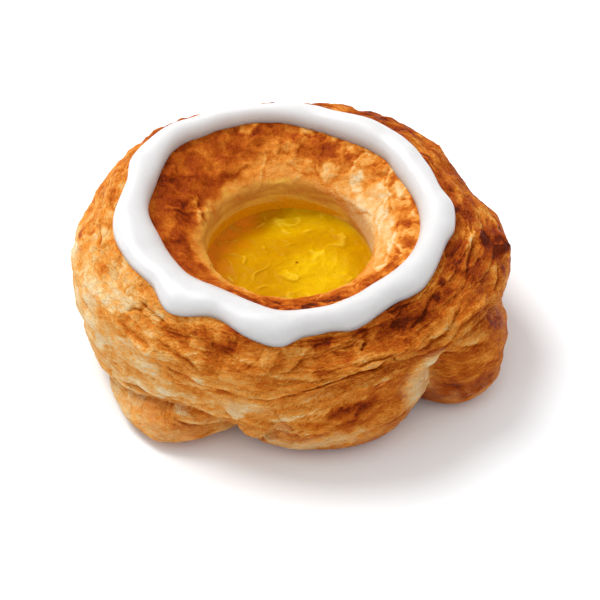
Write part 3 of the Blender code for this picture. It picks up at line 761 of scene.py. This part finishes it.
surface.inputs["Subsurface Weight"].default_value = 0.12
surface.inputs["Subsurface Radius"].default_value = (1.0, 0.45, 0.15)
surface.inputs["Subsurface Scale"].default_value = 1.5 * MM
surface.inputs["Specular IOR Level"].default_value = 0.05
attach(crust, "root")
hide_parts("pastry")

# The custard
# Vanilla custard spooned into the well before baking, set to a soft lumpy pool that clings to the dough
# all round and has a few wrinkles and a small brown speck in its skin. At the left and the back it thins to
# a darker amber film, deepened there as painted shade from the wall. Its crests carry a painted highlight.
CUSTARD_DOME = 0.6 * MM
CUSTARD_REACH = WALL_RADIUS + 0.25 * MM
CUSTARD_COLUMNS = 200
CUSTARD_RINGS = 90
CLING_HEIGHT = 1.2 * MM
CLING_WIDTH = 1.2 * MM
SWELL_HEIGHT = 0.5 * MM
SWELL_SIZE = 7.0 * MM
CREST_HEIGHT = 0.45 * MM
CREST_SIZE = 5.0 * MM
WRINKLE_HEIGHT = 0.16 * MM
WRINKLE_SIZE = 2.8 * MM
SPECK = (1.3 * MM, 1.0 * MM)
SPECK_RADIUS = 0.5 * MM
# The custard is lit brightest round one spot at the right, a painted pool of light. The edge of the film
# and its painted shade runs from its corner to the front at the left, and to the back at an angle.
PAINTED_LIGHT_SPOT = (6.5 * MM, -3.0 * MM)
PAINTED_LIGHT_REACH = 10.0 * MM
FILM_CORNER = (-12.0 * MM, 2.0 * MM)
FILM_WAY = np.radians(59.5)

pool_turn = np.linspace(-np.pi, np.pi, CUSTARD_COLUMNS, endpoint=False)
pool_share = np.linspace(1.0, 0.0, CUSTARD_RINGS) ** 0.9
base_line = [(0.0, FLOOR_HEIGHT + 0.4 * MM), (0.6 * CUSTARD_REACH, FLOOR_HEIGHT + 0.9 * MM),
             (CUSTARD_REACH - 1.6 * MM, FLOOR_HEIGHT + 4.0 * MM), (CUSTARD_REACH, CUSTARD_HEIGHT - 1.0 * MM)]
radius = np.array([r for r, _ in base_line] + [CUSTARD_REACH * share for share in pool_share])
height = np.array([h for _, h in base_line] + [CUSTARD_HEIGHT] * CUSTARD_RINGS)
pool = np.stack([
    radius[:, None] * np.sin(pool_turn) + WELL_SHARE * RIM_OFFSET[0],
    -radius[:, None] * np.cos(pool_turn) + WELL_SHARE * RIM_OFFSET[1],
    np.broadcast_to(height[:, None], (len(radius), CUSTARD_COLUMNS)),
], axis=-1)
pool_points = pool.reshape(-1, 3)
from_wall = (CUSTARD_REACH - radius)[:, None]
swell = grain(pool_points, SWELL_SIZE) + 0.4 * grain(pool_points + 0.2, 3.6 * MM)
crests = 1.0 - 5.0 * np.abs(grain(pool_points + 0.4, CREST_SIZE))
crest_and_highlight = np.clip(crests, 0.0, 1.0) * between(grain(pool_points + 0.7, 3.4 * MM), 0.0, 0.3)
wrinkles = np.clip(1.0 - 3.0 * np.abs(grain(pool_points + 0.3, WRINKLE_SIZE)), 0.0, 1.0)
skin_rise = SWELL_HEIGHT * swell + CREST_HEIGHT * crest_and_highlight + WRINKLE_HEIGHT * wrinkles
skin_rise = skin_rise.reshape(pool.shape[:2]) * between(from_wall, 0.2 * MM, 2.0 * MM)
uneven = grain(pool_points + 0.9, 5.0 * MM) + 0.5 * grain(pool_points, 2.2 * MM)
to_left = FILM_CORNER[0] - pool[..., 0]
to_back = to_left * np.sin(FILM_WAY) + (pool[..., 1] - FILM_CORNER[1]) * np.cos(FILM_WAY)
past_line = np.maximum(to_left, to_back) + 1.4 * MM * uneven.reshape(pool.shape[:2])
film = between(past_line, -1.2 * MM, 2.8 * MM)
from_painted_light = np.hypot(pool[..., 0] - PAINTED_LIGHT_SPOT[0], pool[..., 1] - PAINTED_LIGHT_SPOT[1]) / PAINTED_LIGHT_REACH
# Past the line the amber deepens as painted shade from the wall over the film; round the lit spot and at the
# back it is lightened as painted light.
amber = 0.46 + 0.18 * film + 0.34 * between(past_line, 1.5 * MM, 9.0 * MM)
painted_light_at_back = between(pool[..., 1], 8.0 * MM, 15.0 * MM)
amber -= (1.0 - film) * (0.36 * between(from_painted_light, 1.25, 0.5) + 0.28 * painted_light_at_back)
from_speck = np.hypot(pool[..., 0] - SPECK[0], pool[..., 1] - SPECK[1])
speck = between(from_speck, SPECK_RADIUS, 0.4 * SPECK_RADIUS)
crest_and_highlight = crest_and_highlight.reshape(pool.shape[:2])
is_top = (np.arange(len(radius)) >= len(base_line))[:, None]
dome = CUSTARD_DOME * (1.0 - (radius[:, None] / CUSTARD_REACH) ** 2)
cling = CLING_HEIGHT * np.exp(-from_wall / CLING_WIDTH)
pool[..., 2] += is_top * (dome + cling + skin_rise)
custard = closed_mesh("custard_pool", pool, {"amber": amber, "crest_and_highlight": crest_and_highlight, "speck": speck})
tree, surface = new_finish(custard, "set_custard")
place = wire(tree, "ShaderNodeTexCoord", {}).outputs["Object"]
clouds = speckle(tree, place, 200.0, 3.0, 0.5)
curds = speckle(tree, place, 700.0, 3.0, 0.5)
tone = sum_up(tree, mark_of(tree, "amber"), clouds, 0.4)
tone = sum_up(tree, tone, curds, 0.16)
tone = sum_up(tree, tone, speckle(tree, place, 2300.0, 2.0, 0.6), 0.3)
# Along the crests the custard is painted paler, a painted highlight.
tone = sum_up(tree, tone, mark_of(tree, "crest_and_highlight"), -0.18, 0.0)
# The darker stops carry the amber film and its painted shade.
custard_colour = ramp(tree, tone, [
    (0.00, shade(238, 192, 8)),
    (0.25, shade(218, 164, 2)),
    (0.50, shade(203, 143, 0)),
    (0.75, shade(210, 132, 4)),
    (1.00, shade(240, 138, 26)),
])
# Pale yellow on the crests is a painted highlight.
painted_highlight = levels(tree, crisp(tree, mark_of(tree, "crest_and_highlight"), 0.3, 1.0), 0.0, 1.0, 0.0, 0.16)
custard_colour = blend(tree, painted_highlight, custard_colour, shade(246, 208, 84))
custard_colour = blend(tree, mark_of(tree, "speck"), custard_colour, shade(150, 52, 12))
tree.links.new(custard_colour, surface.inputs["Base Color"])
tree.links.new(levels(tree, curds, 0.3, 0.7, 0.22, 0.34), surface.inputs["Roughness"])
bump = wire(tree, "ShaderNodeBump", {"Height": curds, "Strength": 0.2, "Distance": 0.3 * MM})
tree.links.new(bump.outputs["Normal"], surface.inputs["Normal"])
surface.inputs["Specular IOR Level"].default_value = 0.015
surface.inputs["Subsurface Weight"].default_value = 0.2
surface.inputs["Subsurface Radius"].default_value = (1.0, 0.6, 0.08)
surface.inputs["Subsurface Scale"].default_value = 3.0 * MM
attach(custard, "root")
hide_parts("custard")

# The icing
# Thick white sugar icing piped in one round bead on the rim once the pastry had cooled. It ran a little
# down the dough between its bumps before it set, so its edges wave.
ICING_THICKNESS = 3.15 * MM
ICING_GAP = 0.4 * MM
ICING_SINK = 0.7 * MM
ICING_ROUNDNESS = 0.62
ICING_COLUMNS = 720
ICING_AROUND = 48

bead_angle = np.linspace(-180.0, 180.0, ICING_COLUMNS, endpoint=False)
bead_turn = np.linspace(0.0, 2.0 * np.pi, ICING_AROUND, endpoint=False)
inner = round_value(ICING_INNER, bead_angle) * MM
outer = round_value(ICING_OUTER, bead_angle) * MM
across = 0.5 * (inner + outer) + 0.5 * (outer - inner) * np.cos(bead_turn)[:, None]
rise = ICING_THICKNESS * np.clip(np.sin(bead_turn), 0.0, 1.0) ** ICING_ROUNDNESS
sink = -(ICING_SINK + ICING_GAP) * np.clip(-3.0 * np.sin(bead_turn), 0.0, 1.0)
rim_station = np.arange(14.0, 19.5, 0.1)
rim_line = on_dough(np.tile(bead_angle, len(rim_station)), np.repeat(rim_station, ICING_COLUMNS))
rim_line = rim_line.reshape(len(rim_station), ICING_COLUMNS, 3)
rim_reach = np.hypot(rim_line[..., 0] - RIM_OFFSET[0], rim_line[..., 1] - RIM_OFFSET[1])
dough_top = np.stack([
    np.interp(across[:, j], rim_reach[::-1, j], rim_line[::-1, j, 2]) for j in range(ICING_COLUMNS)
], axis=1)
bead = np.stack([
    across * np.sin(np.radians(bead_angle)) + RIM_OFFSET[0] + MIDDLE[0],
    RIM_OFFSET[1] - across * np.cos(np.radians(bead_angle)) + MIDDLE[1],
    dough_top + ICING_GAP + (rise + sink)[:, None],
], axis=-1)
ring = [(a, (a + 1) % ICING_COLUMNS) for a in range(ICING_COLUMNS)]
faces = []
for row in range(ICING_AROUND):
    low = row * ICING_COLUMNS
    high = (row + 1) % ICING_AROUND * ICING_COLUMNS
    faces += [(low + a, low + b, high + b, high + a) for a, b in ring]
icing_mesh = bpy.data.meshes.new("icing_bead")
icing_mesh.from_pydata(bead.reshape(-1, 3).tolist(), [], faces)
icing_mesh.shade_smooth()
icing = bpy.data.objects.new("icing_bead", icing_mesh)
bpy.context.scene.collection.objects.link(icing)
tree, surface = new_finish(icing, "sugar_icing")
place = wire(tree, "ShaderNodeTexCoord", {}).outputs["Object"]
sugar = speckle(tree, place, 900.0, 3.0, 0.5)
icing_colour = blend(tree, sugar, shade(219, 218, 218), shade(225, 224, 224))
tree.links.new(icing_colour, surface.inputs["Base Color"])
tree.links.new(levels(tree, sugar, 0.3, 0.7, 0.34, 0.44), surface.inputs["Roughness"])
waves = speckle(tree, place, 260.0)
bump = wire(tree, "ShaderNodeBump", {"Height": waves, "Strength": 0.15, "Distance": 0.4 * MM})
tree.links.new(bump.outputs["Normal"], surface.inputs["Normal"])
surface.inputs["Subsurface Weight"].default_value = 0.9
surface.inputs["Subsurface Radius"].default_value = (1.0, 1.0, 1.0)
surface.inputs["Subsurface Scale"].default_value = 8.0 * MM
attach(icing, "root")
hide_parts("icing")

# The table and the light
# A plain white surface under a soft white sky, with one large soft light high up at the left, behind the
# pastry. Places and sizes are in metres.
FLOOR_HALF = 3.0
SKY_STRENGTH = 0.86
LIGHT_PLACE = (-0.59, 0.60, 1.09)
LIGHT_TARGET = (0.0, 0.0, 0.02)
LIGHT_SIZE = 0.8
LIGHT_POWER = 16.6
floor_mesh = bpy.data.meshes.new("floor")
corners = [(-1, -1), (1, -1), (1, 1), (-1, 1)]
floor_mesh.from_pydata([(x * FLOOR_HALF, y * FLOOR_HALF, 0.0) for x, y in corners], [], [(0, 1, 2, 3)])
floor = bpy.data.objects.new("floor", floor_mesh)
bpy.context.scene.collection.objects.link(floor)
tree, surface = new_finish(floor, "white_table")
surface.inputs["Base Color"].default_value = (0.90, 0.915, 0.925, 1.0)
surface.inputs["Roughness"].default_value = 0.9
surface.inputs["Specular IOR Level"].default_value = 0.1

sky = bpy.data.worlds.new("soft_sky")
sky.use_nodes = True
sky.node_tree.nodes["Background"].inputs["Color"].default_value = (1.0, 1.0, 1.0, 1.0)
sky.node_tree.nodes["Background"].inputs["Strength"].default_value = SKY_STRENGTH
bpy.context.scene.world = sky
bpy.context.scene.view_settings.view_transform = "Standard"

lamp = bpy.data.lights.new("key_light", "AREA")
lamp.shape = "DISK"
lamp.size = LIGHT_SIZE
lamp.energy = LIGHT_POWER
light = bpy.data.objects.new("key_light", lamp)
bpy.context.scene.collection.objects.link(light)
away = np.array(LIGHT_PLACE) - np.array(LIGHT_TARGET)
light.location = LIGHT_PLACE
light.rotation_euler = (np.arctan2(np.hypot(away[0], away[1]), away[2]), 0.0, np.arctan2(away[0], -away[1]))

# The camera
# It looks along +Y and down at 43 degrees from 0.68 m, with a long lens.
CAMERA_ELEVATION = np.radians(43.0)
CAMERA_DISTANCE = 0.68
CAMERA_TARGET = np.array([1.96, 3.11, 3.73]) * MM
FOCAL_LENGTH = 164.8
SENSOR_WIDTH = 36.0
camera = bpy.data.objects.new("camera", bpy.data.cameras.new("camera"))
bpy.context.scene.collection.objects.link(camera)
camera.data.lens = FOCAL_LENGTH
camera.data.sensor_width = SENSOR_WIDTH
back = np.array([0.0, -np.cos(CAMERA_ELEVATION), np.sin(CAMERA_ELEVATION)])
camera.location = CAMERA_TARGET + CAMERA_DISTANCE * back
camera.rotation_euler = (np.pi / 2.0 - CAMERA_ELEVATION, 0.0, 0.0)
bpy.context.scene.camera = camera
